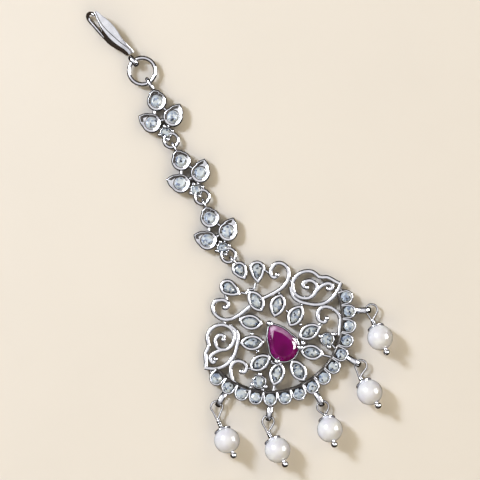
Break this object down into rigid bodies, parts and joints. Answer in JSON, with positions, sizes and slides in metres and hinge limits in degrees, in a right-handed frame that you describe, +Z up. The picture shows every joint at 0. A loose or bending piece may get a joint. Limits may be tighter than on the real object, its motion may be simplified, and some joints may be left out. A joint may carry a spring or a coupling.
{
  "type": "forehead jewel (maang tikka)",
  "caption": "Silver-toned forehead jewel: fan-shaped scrollwork pendant with clear stones, a magenta centre stone and pearl drops, on flower links with a hair hook.",
  "frame": {"origin": "centre of the flat back of the centre stone's collet, on the surface the jewel lies on", "axes": "+Y along the jewel from the pendant towards the hair hook, +Z up out of the face, +X to the right seen from the front"},
  "size_m": [0.0475, 0.1126, 0.0058],
  "materials": {
    "silver_metal": "bright polished rhodium plate on brass",
    "clear_stone": "faceted, icy pale blue-grey",
    "magenta_stone": "faceted, deep magenta",
    "pearl": "white pearl coat with a soft lilac sheen"
  },
  "bodies": {
    "root": {"pendant_frame": "silver_metal", "centre_stone": "magenta_stone", "marquise_stone_1": "clear_stone", "marquise_stone_2": "clear_stone", "marquise_stone_3": "clear_stone", "marquise_stone_4": "clear_stone", "marquise_stone_5": "clear_stone", "marquise_stone_6": "clear_stone", "marquise_stone_7": "clear_stone", "marquise_stone_8": "clear_stone", "marquise_stone_9": "clear_stone", "marquise_stone_10": "clear_stone", "pear_stone_1": "clear_stone", "pear_stone_2": "clear_stone", "pear_stone_3": "clear_stone", "small_stone_1": "clear_stone", "small_stone_2": "clear_stone", "eye_pin_1": "silver_metal", "bead_cap_1": "silver_metal", "pearl_1": "pearl", "eye_pin_2": "silver_metal", "bead_cap_2": "silver_metal", "pearl_2": "pearl", "eye_pin_3": "silver_metal", "bead_cap_3": "silver_metal", "pearl_3": "pearl", "eye_pin_4": "silver_metal", "bead_cap_4": "silver_metal", "pearl_4": "pearl", "eye_pin_5": "silver_metal", "bead_cap_5": "silver_metal", "pearl_5": "pearl", "link_1": "silver_metal", "link_1_stone_1": "clear_stone", "link_1_stone_2": "clear_stone", "link_1_stone_3": "clear_stone", "link_1_stone_4": "clear_stone", "link_2": "silver_metal", "link_2_stone_1": "clear_stone", "link_2_stone_2": "clear_stone", "link_2_stone_3": "clear_stone", "link_2_stone_4": "clear_stone", "link_3": "silver_metal", "link_3_stone_1": "clear_stone", "link_3_stone_2": "clear_stone", "link_3_stone_3": "clear_stone", "link_3_stone_4": "clear_stone", "hook_ring": "silver_metal", "hair_hook": "silver_metal"}
  },
  "joints": []
}
